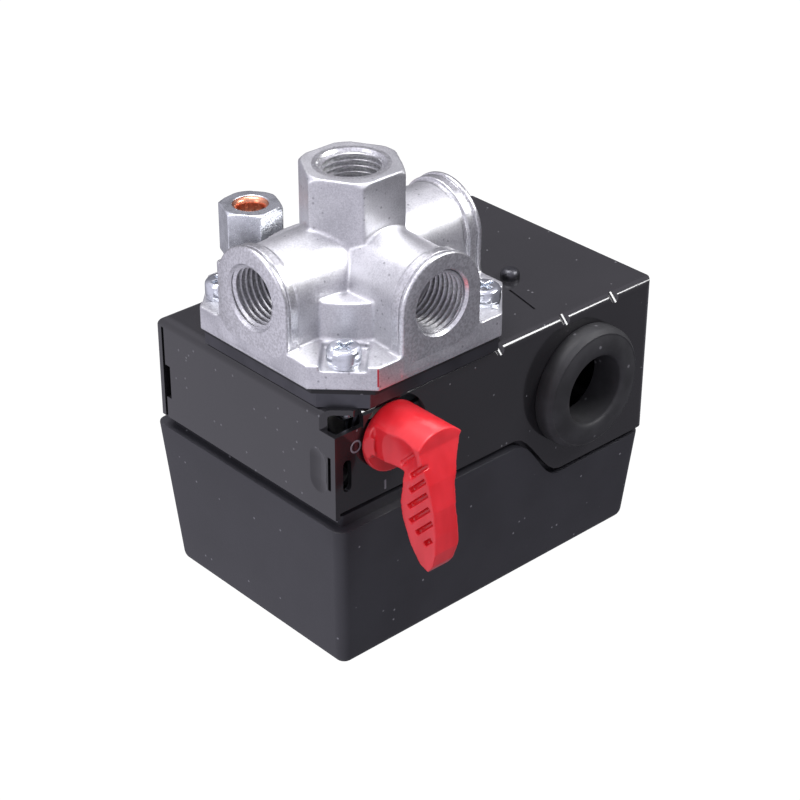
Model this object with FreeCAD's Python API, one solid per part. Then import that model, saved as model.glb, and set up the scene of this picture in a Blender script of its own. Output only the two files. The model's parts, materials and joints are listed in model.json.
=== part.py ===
"""Air-compressor pressure switch: steel base, four-port manifold, red on/off knob,
side unloader valve and the rocker, range spring and contacts inside.

It stands on the closed face of its cover, with the tank port pointing up.
Origin: on the tank port's axis, in the plane that the cover stands on.
+X runs along the long side, +Y to the back, +Z up.  Millimetres.
"""
import FreeCAD, Part
import math
import os

V = FreeCAD.Vector
X_AXIS, Y_AXIS, Z_AXIS = V(1, 0, 0), V(0, 1, 0), V(0, 0, 1)

# ---------------------------------------------------------------- driving dimensions
PLATE_TOP = 63.0            # outer face of the steel base, above the cover's closed face
SHEET = 1.2                 # steel sheet of the base
BEND = 2.0                  # outer bend radius
LEFT, RIGHT = -25.8, 66.4   # outer faces of the two short sides
FRONT, REAR = -25.1, 34.0   # outer faces of the two long sides
PLATE_UNDER = PLATE_TOP - SHEET
LEFT_EDGE_Z = 38.9          # lower edge of the left wall
WALL_EDGE_Z = 38.0          # lower edge of the long walls, away from the cable entries
TAB_EDGE_Z = 25.2           # lower edge of the deep tabs around the cable entries
STEP_X0, STEP_X1 = 24.0, 38.5   # where the lower edge steps down to the tabs

COVER_GAP = 1.4             # gap between the walls' edges and the cover's rim
COVER_WALL = 2.0
RIM_OUT = 0.8               # how far the rim stands outside the steel walls
REAR_OUT = 1.5              # how much further it stands out at the rear
DRAFT = 3.0                 # how much each side leans in down to the closed face
COVER_CORNER = 2.6          # radius of its upright edges

FLANGE = 27.0               # half the manifold flange's width
FLANGE_CHAMFER = 10.0
FLANGE_Z0, FLANGE_Z1 = PLATE_TOP + 4.3, PLATE_TOP + 9.5
SCREW_PITCH = 19.3          # manifold screws, from the tank port's axis
POCKET_Z = FLANGE_Z1 - 1.2  # seats of those screws
POCKET_HALF = 4.75
PORT_Z = PLATE_TOP + 17.9   # height of the three side ports
ARM_LENGTH = 27.25          # face of each side port, from the axis
COLLAR_R, BARREL_R = 10.8, 10.1
COLLAR_WIDTH = 3.6
CORE_R, CORE_TOP = 20.4, PLATE_TOP + 17.8   # round core between the arms, over the diaphragm
HEX_TOP = PLATE_TOP + 39.3
HEX_AF = 20.0
THREAD_R = 6.85             # 1/4 inch pipe thread, at its crests' outer diameter
MOUTH_R = 7.1
THREAD_DEPTH = 13.0
PASSAGE_R = 4.5

KNOB_X, KNOB_Z = -11.5, 54.0    # axis of the on/off knob, along Y
HUB_R = 7.7
KNOB_SWING = 40.0           # degrees from OFF to AUTO
SHAFT_R = 2.5
BUSH_R = 3.7
CRANK_R = 4.0               # throw of the crank pin inside
CRANK_PIN_R = 1.5

ENTRY_X, ENTRY_Z = 44.0, 44.9   # centre of the cable entries
ENTRY_HOLE_R = 11.0
GROMMET_R, GROMMET_BORE_R = 14.3, 8.0
GROMMET_OUT = 5.1

PIVOT_X, PIVOT_Z = -20.0, 45.0  # hinge of the pressure rocker
PIVOT_R = 2.0
ROCKER_Z0, ROCKER_Z1 = 44.0, 46.0
STUD_X, STUD_Y, STUD_R = 43.0, -3.6, 2.2

VALVE_X, VALVE_Y = 3.6, 37.9    # axis of the unloader's tube nut
NUT_TOP = PLATE_TOP + 15.9
NUT_AF = 12.7
TUBE_R = 3.2                # 6 mm copper tube with room to slide in

RUN = 0.05                  # running clearance of pins and stems


# ---------------------------------------------------------------- small helpers
def box(x0, x1, y0, y1, z0, z1):
    return Part.makeBox(x1 - x0, y1 - y0, z1 - z0, V(x0, y0, z0))


def rod(radius, start, axis, length):
    return Part.makeCylinder(radius, length, V(*start), axis)


def ring(outer, inner, start, axis, length):
    return rod(outer, start, axis, length).cut(rod(inner, start, axis, length))


def cone(r0, r1, start, axis, length):
    return Part.makeCone(r0, r1, length, V(*start), axis)


def hexagon(across_flats, x, y, z0, z1, turn=0.0):
    """Upright hexagonal prism; with no turn its flats face +Y and -Y."""
    corner = across_flats / math.sqrt(3)
    points = [V(x + corner * math.cos(math.radians(60 * k + turn)),
                y + corner * math.sin(math.radians(60 * k + turn)), z0) for k in range(7)]
    return Part.Face(Part.makePolygon(points)).extrude(V(0, 0, z1 - z0))


def prism_y(outline, y0, y1):
    """Solid between y0 and y1 with an outline given as (x, z) corners."""
    points = [V(x, y0, z) for x, z in outline]
    return Part.Face(Part.makePolygon(points + points[:1])).extrude(V(0, y1 - y0, 0))


def prism_x(outline, x0, x1):
    """Solid between x0 and x1 with an outline given as (y, z) corners."""
    points = [V(x0, y, z) for y, z in outline]
    return Part.Face(Part.makePolygon(points + points[:1])).extrude(V(x1 - x0, 0, 0))


def joined(pieces):
    whole = pieces[0].fuse(pieces[1:]) if len(pieces) > 1 else pieces[0]
    return whole.removeSplitter()


def edges_where(shape, test):
    return [edge for edge in shape.Edges if test(edge)]


def along(edge, axis):
    """True for a straight edge that runs along the axis."""
    ends = [vertex.Point for vertex in edge.Vertexes]
    if len(ends) < 2 or edge.Curve.TypeId != "Part::GeomLine":
        return False
    run = (ends[1] - ends[0]).normalize()
    return abs(abs(run.dot(axis)) - 1) < 1e-6


def coil(mean_r, wire_r, x, y, z0, z1, turns):
    """Compression spring along Z between two heights, as a chain of tilted half turns."""
    rise = (z1 - z0 - 2 * wire_r) / (2 * turns)
    half_r = math.hypot(mean_r, rise / 2)
    tilt = math.degrees(math.asin(rise / 2 / half_r))
    halves = []
    for k in range(2 * turns):
        half = Part.makeTorus(half_r, wire_r, V(0, 0, 0), Z_AXIS, 0, 360, 180)
        half.rotate(V(0, 0, 0), Y_AXIS, tilt)
        half.rotate(V(0, 0, 0), Z_AXIS, 180 * (k % 2))
        half.translate(V(x, y, z0 + wire_r + (k + 0.5) * rise))
        halves.append(half)
    return halves[0].fuse(halves[1:])


def rounded_block(x0, x1, y0, y1, z0, z1, radius):
    """Block with its four upright edges rounded."""
    block = box(x0, x1, y0, y1, z0, z1)
    return block.makeFillet(radius, edges_where(block, lambda edge: along(edge, Z_AXIS)))


def corner_places(pitch):
    return [(sx * pitch, sy * pitch) for sx in (-1, 1) for sy in (-1, 1)]


# ---------------------------------------------------------------- steel base
def step_outline(drop, floor_z):
    """Side view (x, z) of everything below the long walls' stepped lower edge, lowered by drop."""
    high, low = WALL_EDGE_Z - drop, TAB_EDGE_Z - drop
    steps = 8
    sweep = []
    for k in range(steps + 1):
        share = k / steps
        ease = share * share * (3 - 2 * share)
        sweep.append((STEP_X0 + (STEP_X1 - STEP_X0) * share, high + (low - high) * ease))
    return [(LEFT - 9, high)] + sweep + [(RIGHT + 9, low), (RIGHT + 9, floor_z), (LEFT - 9, floor_z)]


MARKER_Y = FRONT + 1.35     # front face of the inset marker plate
MARKER_RIGHT, MARKER_Z0, MARKER_Z1 = -2.5, 40.2, 58.4
NOTCH = 6.0                 # size of the open relief across the plate's front left corner
FLANGE_GAP = (3.9, 4.9)     # slit between the two return flanges at the right end
DARTS = (18.9, 38.7, 54.0)  # pressed gussets across the front bend
ARM_SLOT = (0.9, 6.3, 44.6, 53.4)   # x0, x1, z0, z1 of the unloader arm's slot in the rear wall
VALVE_SCREWS = (-5.6, 12.8)
VALVE_SCREW_Z = 57.0
BLOCK_SCREW_X = (4.0, 24.0)
BLOCK_SCREW_Z = 41.8
POST_X, POST_Y = 28.0, -16.4


def base_frame():
    outer = box(LEFT, RIGHT, FRONT, REAR, 12, PLATE_TOP)
    top_bends = edges_where(outer, lambda e: (along(e, X_AXIS) or along(e, Y_AXIS))
                            and min(v.Z for v in e.Vertexes) > PLATE_TOP - 1
                            and e.CenterOfMass.x < RIGHT - 1)
    side_bends = edges_where(outer, lambda e: along(e, Z_AXIS) and e.CenterOfMass.x > RIGHT - 1)
    outer = outer.makeFillet(BEND, top_bends + side_bends)
    inner = box(LEFT + SHEET, RIGHT - SHEET, FRONT + SHEET, REAR - SHEET, 11, PLATE_UNDER)
    inner_bends = edges_where(inner, lambda e: (along(e, X_AXIS) or along(e, Y_AXIS))
                              and min(v.Z for v in e.Vertexes) > PLATE_UNDER - 1
                              and e.CenterOfMass.x < RIGHT - 2)
    inner = inner.makeFillet(BEND - SHEET, inner_bends)
    shell = outer.cut(inner)

    cuts = [prism_y(step_outline(0, 5), FRONT - 1, REAR + 1)]
    cuts.append(box(LEFT - 1, LEFT + SHEET + 0.5, FRONT - 1, REAR + 1, 5, LEFT_EDGE_Z))
    # right end: two return flanges with a gap between them and under the plate
    cuts.append(box(RIGHT - 4, RIGHT + 1, *FLANGE_GAP, 5, PLATE_UNDER - 0.6))
    cuts.append(box(RIGHT - SHEET - 1.0, RIGHT + 1, FRONT + 4, REAR - 4, PLATE_UNDER - 0.6, PLATE_UNDER))
    # rear end of the left wall stands clear of the rear wall
    cuts.append(box(LEFT - 1, LEFT + SHEET + 0.5, REAR - SHEET - 0.8, REAR - SHEET, 5, PLATE_TOP - BEND))
    cuts.append(box(LEFT - 1, LEFT + SHEET, REAR - SHEET - 2.4, REAR - SHEET, 44, 52))
    # front left corner: relief notch, and the front wall is cut away around the knob
    slant = [V(LEFT - 1, FRONT + NOTCH + 1, MARKER_Z1), V(LEFT + NOTCH + 1.4, FRONT - 1, MARKER_Z1),
             V(LEFT - 1, FRONT - 1, MARKER_Z1)]
    cuts.append(Part.Face(Part.makePolygon(slant + slant[:1])).extrude(V(0, 0, 10)))
    cuts.append(box(LEFT - 1, LEFT + NOTCH + 0.4, FRONT - 1, MARKER_Y, 5, PLATE_TOP + 1))
    cuts.append(rod(HUB_R + 1.6, (KNOB_X, FRONT - 1, KNOB_Z), Y_AXIS, SHEET + 1.05))
    cuts.append(box(LEFT - 1, -3.4, FRONT - 1, FRONT + SHEET + 0.05, 5, KNOB_Z + 1.5))
    shell = shell.cut(cuts)

    marker = box(LEFT, MARKER_RIGHT, MARKER_Y, MARKER_Y + SHEET, MARKER_Z0, MARKER_Z1)
    corner = edges_where(marker, lambda e: along(e, Z_AXIS) and e.CenterOfMass.x < LEFT + 1
                         and e.CenterOfMass.y < MARKER_Y + 0.1)
    marker = marker.makeFillet(1.15, corner)
    frame = joined([shell, marker])

    window_x = LEFT + 3.2
    window = [rod(1.1, (window_x, MARKER_Y - 1, z), Y_AXIS, 4) for z in (45.8, 51.0)]
    window.append(box(window_x - 1.1, window_x + 1.1, MARKER_Y - 1, MARKER_Y + 3, 45.8, 51.0))
    holes = window
    # short slot and thumb-shaped dimple beside it on the left wall
    holes.append(box(LEFT - 1, LEFT + SHEET + 0.2, FRONT + 2.7, FRONT + 3.6, 45.4, 53.2))
    dent_r, dent_x, dent_y = 6.0, LEFT - 5.35, FRONT + 6.4
    holes.append(rod(dent_r, (dent_x, dent_y, 46.4), Z_AXIS, 5.0))
    holes += [Part.makeSphere(dent_r, V(dent_x, dent_y, z)) for z in (46.4, 51.4)]
    holes += [rod(2.0, (x, FRONT - 2.6, PLATE_TOP - 1.65), V(0, 1, 1), 6.0) for x in DARTS]
    # plate: push plate, manifold screws, stud, pressed slit
    holes.append(rod(13.5, (0, 0, PLATE_UNDER - 1), Z_AXIS, SHEET + 2))
    holes += [rod(1.75, (x, y, PLATE_UNDER - 1), Z_AXIS, SHEET + 2) for x, y in corner_places(SCREW_PITCH)]
    holes.append(rod(STUD_R, (STUD_X, STUD_Y, PLATE_UNDER - 1), Z_AXIS, SHEET + 2))
    slit = box(-5.1, 5.1, -0.25, 0.25, PLATE_TOP - 0.4, PLATE_TOP + 1)
    slit.rotate(V(0, 0, 0), Z_AXIS, 77)
    slit.translate(V(37.4, -12.9, 0))
    holes.append(slit)
    # long walls: cable entries, unloader arm and the screws of the valve and the contact block
    for y in (FRONT, REAR - SHEET):
        holes.append(rod(ENTRY_HOLE_R, (ENTRY_X, y - 1, ENTRY_Z), Y_AXIS, SHEET + 2))
    x0, x1, z0, z1 = ARM_SLOT
    holes.append(box(x0, x1, REAR - 3, REAR + 1, z0, z1))
    for x, z in [(x, VALVE_SCREW_Z) for x in VALVE_SCREWS] + [(x, BLOCK_SCREW_Z) for x in BLOCK_SCREW_X]:
        holes.append(rod(1.6, (x, REAR - 3, z), Y_AXIS, 4))
    holes.append(rod(BUSH_R, (KNOB_X, MARKER_Y - 1, KNOB_Z), Y_AXIS, 4))
    return frame.cut(holes)


# ---------------------------------------------------------------- cover
def leaning_box(inset, z0, z1):
    """Tub shape with rounded corners: every side leans in towards the closed face."""
    def loop(z):
        share = (WALL_EDGE_Z - z) / WALL_EDGE_Z
        lean = DRAFT * share - RIM_OUT + inset
        flat = Part.makePlane(RIGHT - LEFT - 2 * lean, REAR + REAR_OUT - FRONT - 2 * lean,
                              V(LEFT + lean, FRONT + lean, z))
        block = flat.extrude(V(0, 0, 1))
        radius = max(COVER_CORNER - inset, 1.0)
        block = block.makeFillet(radius, edges_where(block, lambda e: along(e, Z_AXIS)))
        base = [f for f in block.Faces if abs(f.CenterOfMass.z - z) < 1e-6
                and abs(f.normalAt(0, 0).z) > 0.99]
        return base[0].OuterWire
    return Part.makeLoft([loop(z0), loop(z1)], True, True)


def cover():
    top = 42.0
    outer = leaning_box(0, 0, top)
    base_edges = edges_where(outer, lambda e: max(v.Z for v in e.Vertexes) < 0.01)
    outer = outer.makeFillet(2.4, base_edges)
    rim = prism_y(step_outline(COVER_GAP, -1), FRONT - 12, REAR + 12)
    lip_line = prism_y(step_outline(COVER_GAP - 2.6, -1), FRONT - 12, REAR + 12)
    under_rim = prism_y(step_outline(COVER_GAP + 2.4, -1), FRONT - 12, REAR + 12)
    body = outer.common(rim)
    hollow = leaning_box(COVER_WALL, COVER_WALL, top).common(under_rim)
    gap = 0.3
    mouth = box(LEFT + SHEET + gap + 1.2, RIGHT - SHEET - gap - 1.2,
                FRONT + SHEET + gap + 1.2, REAR - SHEET - gap - 1.2, COVER_WALL, top)
    body = body.cut(hollow).cut(mouth.common(outer))
    lip = box(LEFT + SHEET + gap, RIGHT - SHEET - gap, FRONT + SHEET + gap, REAR - SHEET - gap, 20, top)
    lip = lip.cut(mouth).common(lip_line).cut(hollow)
    marker_room = box(LEFT - 1, MARKER_RIGHT + 1, FRONT - 1, MARKER_Y + SHEET + 0.4, MARKER_Z0 - 0.5, top + 1)
    floor = outer.common(box(LEFT, RIGHT, FRONT, REAR, 0, COVER_WALL))
    shell = joined([body, lip.cut(marker_room), floor])
    boss = rod(4.6, (POST_X, POST_Y, 0.5), Z_AXIS, 5.2)
    shell = joined([shell, boss])
    screw_way = [rod(2.2, (POST_X, POST_Y, -1), Z_AXIS, 10), rod(3.4, (POST_X, POST_Y, -1), Z_AXIS, 4.2)]
    return shell.cut(screw_way)


def cover_post():
    post = hexagon(6.0, POST_X, POST_Y, 6.0, PLATE_UNDER)
    return post.cut(rod(1.7, (POST_X, POST_Y, 5), Z_AXIS, 13))


def cover_screw():
    head = rod(3.1, (POST_X, POST_Y, 0.6), Z_AXIS, 2.6)
    slot = box(POST_X - 4, POST_X + 4, POST_Y - 0.5, POST_Y + 0.5, 0, 1.6)
    return joined([head.cut(slot), rod(1.7, (POST_X, POST_Y, 3.2), Z_AXIS, 12)])


# ---------------------------------------------------------------- manifold and its diaphragm
ARMS = [V(-1, 0, 0), V(1, 0, 0), V(0, -1, 0)]


def square_plate(half, chamfer, z0, z1):
    corners = [(half, half - chamfer), (half - chamfer, half), (-half + chamfer, half),
               (-half, half - chamfer), (-half, -half + chamfer), (-half + chamfer, -half),
               (half - chamfer, -half), (half, -half + chamfer)]
    points = [V(x, y, z0) for x, y in corners]
    return Part.Face(Part.makePolygon(points + points[:1])).extrude(V(0, 0, z1 - z0))


def arm(direction):
    """One side port: barrel, collar at its mouth, and the legs that carry them on the flange."""
    side = direction.cross(Z_AXIS)

    def saddle(radius, reach, length):
        barrel = rod(radius, tuple(direction * reach + V(0, 0, PORT_Z)), direction, length)
        near, far = direction * reach, direction * (reach + length)
        corners = [near - side * radius, near + side * radius, far + side * radius, far - side * radius]
        points = [V(c.x, c.y, FLANGE_Z0 + 1) for c in corners]
        web = Part.Face(Part.makePolygon(points + points[:1])).extrude(V(0, 0, PORT_Z - FLANGE_Z0 - 1))
        return barrel.fuse(web)

    return [saddle(BARREL_R, 0, ARM_LENGTH - 1), saddle(COLLAR_R, ARM_LENGTH - COLLAR_WIDTH, COLLAR_WIDTH)]


def screw_pockets():
    """Shallow seats for the screws, open across the flange's cut corners."""
    pockets = []
    for k in range(4):
        pocket = box(CORE_R + 0.6, 40, -POCKET_HALF, POCKET_HALF, POCKET_Z, FLANGE_Z1 + 4)
        pocket = pocket.fuse(rod(POCKET_HALF, (SCREW_PITCH * math.sqrt(2) - 1.6, 0, POCKET_Z), Z_AXIS, 6))
        pocket.rotate(V(0, 0, 0), Z_AXIS, 45 + 90 * k)
        pockets.append(pocket)
    return pockets


def manifold():
    pieces = [square_plate(FLANGE, FLANGE_CHAMFER, FLANGE_Z0, FLANGE_Z1)]
    for direction in ARMS:
        pieces += arm(direction)
    pieces.append(rod(CORE_R, (0, 0, FLANGE_Z0 + 1), Z_AXIS, CORE_TOP - FLANGE_Z0 - 1))
    pieces.append(hexagon(HEX_AF, 0, 0, PORT_Z, HEX_TOP).common(
        cone(27.0, HEX_AF / 2 + 0.5, (0, 0, HEX_TOP - 15.8), Z_AXIS, 15.8)))
    body = joined(pieces)
    bores = [rod(THREAD_R, (0, 0, HEX_TOP - THREAD_DEPTH), Z_AXIS, THREAD_DEPTH + 1),
             rod(PASSAGE_R, (0, 0, FLANGE_Z0 - 1), Z_AXIS, HEX_TOP - FLANGE_Z0),
             cone(THREAD_R, MOUTH_R + 0.7, (0, 0, HEX_TOP - 0.6), Z_AXIS, 1.2),
             rod(17.0, (0, 0, FLANGE_Z0 - 1), Z_AXIS, 3.0)]
    for direction in ARMS:
        face = direction * ARM_LENGTH + V(0, 0, PORT_Z)
        bores.append(rod(PASSAGE_R, (0, 0, PORT_Z), direction, ARM_LENGTH))
        bores.append(rod(THREAD_R, tuple(face - direction * THREAD_DEPTH), direction, THREAD_DEPTH + 1))
        bores.append(cone(THREAD_R, MOUTH_R + 0.7, tuple(face - direction * 0.6), direction, 1.2))
    bores += [rod(2.2, (x, y, FLANGE_Z0 - 1), Z_AXIS, 8) for x, y in corner_places(SCREW_PITCH)]
    bores += screw_pockets()
    return body.cut(bores)


WASHER_H = 1.0
HEAD_R, HEAD_H = 3.55, 3.0


def manifold_screws():
    screws = []
    for x, y in corner_places(SCREW_PITCH):
        seat = POCKET_Z + WASHER_H
        head = rod(HEAD_R, (x, y, seat), Z_AXIS, HEAD_H)
        rims = edges_where(head, lambda e: e.Length > 20 and e.BoundBox.ZMin > seat + HEAD_H - 0.1)
        head = head.makeFillet(1.1, rims)
        cross = [box(x - 2.4, x + 2.4, y - 0.45, y + 0.45, seat + 1.4, seat + 4),
                 box(x - 0.45, x + 0.45, y - 2.0, y + 2.0, seat + 1.4, seat + 4)]
        shank = rod(1.75, (x, y, PLATE_UNDER - 2.5), Z_AXIS, seat - PLATE_UNDER + 2.5)
        screws.append(joined([head, shank]).cut(cross))
    return Part.makeCompound(screws)


def spring_washers():
    washers = []
    for x, y in corner_places(SCREW_PITCH):
        washer = ring(3.4, 2.1, (x, y, POCKET_Z), Z_AXIS, WASHER_H)
        washers.append(washer.cut(box(x, x + 4, y - 0.3, y + 0.3, POCKET_Z, POCKET_Z + 2)))
    return Part.makeCompound(washers)


SEAT_TOP = FLANGE_Z0 - 1.2


def diaphragm_seat():
    seat = square_plate(FLANGE - 1.6, FLANGE_CHAMFER - 2.4, PLATE_TOP, SEAT_TOP)
    cuts = [rod(13.4, (0, 0, PLATE_TOP - 1), Z_AXIS, 6)]
    cuts += [rod(2.2, (x, y, PLATE_TOP - 1), Z_AXIS, 6) for x, y in corner_places(SCREW_PITCH)]
    return seat.cut(cuts)


def diaphragm():
    sheet = square_plate(FLANGE - 0.9, FLANGE_CHAMFER - 1.0, SEAT_TOP, FLANGE_Z0)
    return sheet.cut([rod(2.2, (x, y, PLATE_TOP), Z_AXIS, 6) for x, y in corner_places(SCREW_PITCH)])


def push_plate():
    """Disc under the diaphragm with a stem that ends in a dome on the rocker."""
    disc_z = SEAT_TOP - 2.6
    disc = rod(13.0, (0, 0, disc_z), Z_AXIS, SEAT_TOP - 0.05 - disc_z)
    tip_r = 5.0
    stem = rod(tip_r, (0, 0, ROCKER_Z1 + RUN + tip_r), Z_AXIS, disc_z - ROCKER_Z1 - tip_r)
    tip = Part.makeSphere(tip_r, V(0, 0, ROCKER_Z1 + RUN + tip_r))
    return joined([disc, stem, tip])


# ---------------------------------------------------------------- pressure rocker and range spring
EARS_Y = ((-17.0, -15.4), (12.4, 14.0))
SPRING_TOP, SPRING_FOOT = 42.6, 22.0


def lever_bracket():
    roof = box(-22.6, -7.0, EARS_Y[0][0], EARS_Y[1][1], PLATE_UNDER - 1.6, PLATE_UNDER)
    ears = []
    for y0, y1 in EARS_Y:
        outline = [(-22.6, PLATE_UNDER), (-22.6, 42.4), (-17.4, 42.4), (-7.0, 49.6), (-7.0, PLATE_UNDER)]
        ears.append(prism_y(outline, y0, y1))
    holes = [rod(PIVOT_R, (PIVOT_X, -18, PIVOT_Z), Y_AXIS, 34),
             rod(SHAFT_R + RUN, (KNOB_X, -18, KNOB_Z), Y_AXIS, 34)]
    plate = joined([roof] + ears)
    return plate.cut(holes).cut(box(-6.2 - 8, -5, -14, 11, 40, PLATE_TOP))


def pivot_pin():
    return rod(PIVOT_R, (PIVOT_X, EARS_Y[0][0] - 1.6, PIVOT_Z), Y_AXIS, EARS_Y[1][1] - EARS_Y[0][0] + 3.2)


def pivot_clips():
    clips = []
    for y in (EARS_Y[0][0] - 1.2, EARS_Y[1][1] + 0.4):
        clip = ring(3.4, PIVOT_R, (PIVOT_X, y, PIVOT_Z), Y_AXIS, 0.8)
        clips.append(clip.cut(box(PIVOT_X - 1.2, PIVOT_X + 1.2, y - 1, y + 2, PIVOT_Z - 4, PIVOT_Z)))
    return Part.makeCompound(clips)


def rocker():
    """Stamped steel lever under the push plate, carried up by the range spring."""
    outline = [(-17.2, -11.4), (30.0, -11.4), (50.0, -10.0), (50.0, 3.4), (30.0, 9.0), (-17.2, 9.0)]
    points = [V(x, y, ROCKER_Z0) for x, y in outline]
    plate = Part.Face(Part.makePolygon(points + points[:1])).extrude(V(0, 0, ROCKER_Z1 - ROCKER_Z0))
    pieces = [plate]
    for y0, y1 in ((-13.0, -11.4), (9.0, 10.6)):
        ear = [(-22.2, 43.0), (-22.2, 47.4), (-14.0, 48.6), (6.0, 47.2), (6.0, ROCKER_Z0), (-14.0, ROCKER_Z0)]
        pieces.append(prism_y(ear, y0, y1))
        pieces.append(box(-17.2, 6.0, y0 if y0 < 0 else 8.6, y1 if y0 > 0 else -11.0, ROCKER_Z0, ROCKER_Z1))
    holes = [rod(PIVOT_R + RUN, (PIVOT_X, -15, PIVOT_Z), Y_AXIS, 30),
             rod(4.2, (STUD_X, STUD_Y, 40), Z_AXIS, 10),
             box(12, 26, -5, 3, 40, 50)]
    return joined(pieces).cut(holes)


def spring_seat():
    cup = rod(9.0, (STUD_X, STUD_Y, SPRING_TOP), Z_AXIS, ROCKER_Z0 - SPRING_TOP)
    lip = ring(9.0, 8.3, (STUD_X, STUD_Y, SPRING_TOP - 1.6), Z_AXIS, 2.0)
    return joined([cup, lip]).cut(rod(4.2, (STUD_X, STUD_Y, 38), Z_AXIS, 10))


def range_stud():
    end_z = PLATE_TOP + 2.2
    stud = rod(STUD_R, (STUD_X, STUD_Y, 12.5), Z_AXIS, end_z - 12.5)
    tip = edges_where(stud, lambda e: e.BoundBox.ZMin > end_z - 0.1 and e.Length > 10)
    stud = stud.makeFillet(1.5, tip)
    collar = hexagon(8.0, STUD_X, STUD_Y, PLATE_UNDER - 3.2, PLATE_UNDER)
    return joined([stud, collar])


def range_spring():
    return coil(6.5, 0.8, STUD_X, STUD_Y, SPRING_FOOT + 0.02, SPRING_TOP - 0.02, 6)


def spring_cup():
    cup = rod(9.0, (STUD_X, STUD_Y, SPRING_FOOT - 1.6), Z_AXIS, 1.6)
    lip = ring(9.0, 8.3, (STUD_X, STUD_Y, SPRING_FOOT - 0.4), Z_AXIS, 2.0)
    return joined([cup, lip]).cut(rod(STUD_R + RUN, (STUD_X, STUD_Y, 15), Z_AXIS, 12))


def range_nut():
    top = SPRING_FOOT - 1.6 - 0.03
    nut = hexagon(9.0, STUD_X, STUD_Y, top - 4.0, top)
    return nut.cut(rod(STUD_R + RUN, (STUD_X, STUD_Y, 10), Z_AXIS, 12))


# ---------------------------------------------------------------- on/off knob
CRANK_ANGLE = 180.0 - KNOB_SWING / 2     # crank pin, above the shaft's level when OFF
CRANK_Y0, CRANK_Y1 = 14.5, 16.3
PIN_X = KNOB_X + CRANK_R * math.cos(math.radians(CRANK_ANGLE))
PIN_Z = KNOB_Z + CRANK_R * math.sin(math.radians(CRANK_ANGLE))
CRANK_TRAVEL = 2 * CRANK_R * math.sin(math.radians(KNOB_SWING / 2))
HUB_BACK, HUB_FACE = FRONT + 0.8, FRONT - 14.0
HUB_UNDER = 50.3            # flat underside of the hub outside the wall
# slanting finger grooves on the grip's left side: distance out, height, half length
GRIP_GROOVES = ((10.1, 55.3, 3.0), (13.2, 53.9, 2.8), (13.5, 50.8, 3.1), (13.6, 47.4, 3.9),
                (14.2, 44.3, 4.0), (15.6, 41.9, 3.3), (16.7, 39.1, 1.5))


def knob():
    """Hub that is round at the top, pointer towards OFF, and a grip that sweeps out and down."""
    hub = rod(HUB_R, (KNOB_X, HUB_FACE, KNOB_Z), Y_AXIS, HUB_BACK - HUB_FACE)
    side = [(FRONT - 1.0, HUB_UNDER), (FRONT - 9.2, HUB_UNDER), (FRONT - 9.3, 49.0),
            (FRONT - 8.7, 45.0), (FRONT - 9.3, 41.6), (FRONT - 11.7, 36.2), (FRONT - 14.6, 32.7),
            (FRONT - 16.9, 31.9), (FRONT - 18.1, 33.6), (FRONT - 19.0, 37.0), (FRONT - 19.0, 41.0),
            (FRONT - 18.4, 46.6), (FRONT - 16.8, 52.2), (FRONT - 14.6, 57.0), (FRONT - 13.6, 59.0),
            (FRONT - 1.0, 59.4)]
    slab = prism_x(side, -17.4, -5.0)
    front = [(-17.4, 59.4), (-17.4, 31.6), (-11.7, 31.6), (-10.9, 38.0), (-11.3, 46.0), (-10.5, 50.6),
             (-8.4, 55.0), (-5.6, 59.4)]
    grip = slab.common(prism_y(front, FRONT - 20, FRONT))
    below = box(-30, 0, FRONT - 20, FRONT - 0.6, 30, HUB_UNDER)
    left_room = box(-30, -17.4, HUB_FACE - 1, FRONT - 1.0, 40, 64)
    right_room = prism_y([(-5.6, 59.4), (-8.4, 55.0), (-10.5, 50.6), (-11.3, 46.0), (-2.0, 46.0),
                          (-2.0, 61.0)], HUB_FACE - 1, FRONT - 9.0)
    slope = prism_y([(-30, 52.0), (-16.4, 52.0), (-14.2, HUB_UNDER), (-30, HUB_UNDER)], FRONT - 9.2, FRONT - 0.6)
    pointer = prism_y([(-18.0, 56.6), (-20.5, 54.7), (-18.0, 52.6)], FRONT - 2.6, FRONT + 0.4)
    body = joined([hub.cut([left_room, right_room, below]), grip]).cut(slope)
    body = joined([body, pointer])
    dish = Part.makeSphere(15.5, V(-32.0, FRONT - 8.4, 55.2))
    grooves = []
    for out, z, reach in GRIP_GROOVES:
        groove = box(-18, -16.0, -reach, reach, -0.5, 0.5)
        groove.rotate(V(0, 0, 0), X_AXIS, -45)
        groove.translate(V(0, FRONT - out, z))
        grooves.append(groove)
    socket = rod(SHAFT_R, (KNOB_X, FRONT - 9.0, KNOB_Z), Y_AXIS, 12)
    return body.cut(grooves + [dish, socket])


def knob_shaft():
    """Steel shaft from the knob through the marker plate, with a crank at its inner end."""
    shaft = rod(SHAFT_R, (KNOB_X, FRONT - 9.0, KNOB_Z), Y_AXIS, CRANK_Y1 - FRONT + 9.0)
    web = [rod(SHAFT_R, (KNOB_X, CRANK_Y0, KNOB_Z), Y_AXIS, CRANK_Y1 - CRANK_Y0),
           rod(2.4, (PIN_X, CRANK_Y0, PIN_Z), Y_AXIS, CRANK_Y1 - CRANK_Y0)]
    pin = rod(CRANK_PIN_R, (PIN_X, CRANK_Y0, PIN_Z), Y_AXIS, 7.5)
    return joined([shaft] + web + [pin])


def shaft_clip():
    clip = ring(4.6, SHAFT_R, (KNOB_X, EARS_Y[0][0] - 1.3, KNOB_Z), Y_AXIS, 0.8)
    return clip.cut(box(KNOB_X - 1.8, KNOB_X + 1.8, -20, -14, KNOB_Z - 5, KNOB_Z))


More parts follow.
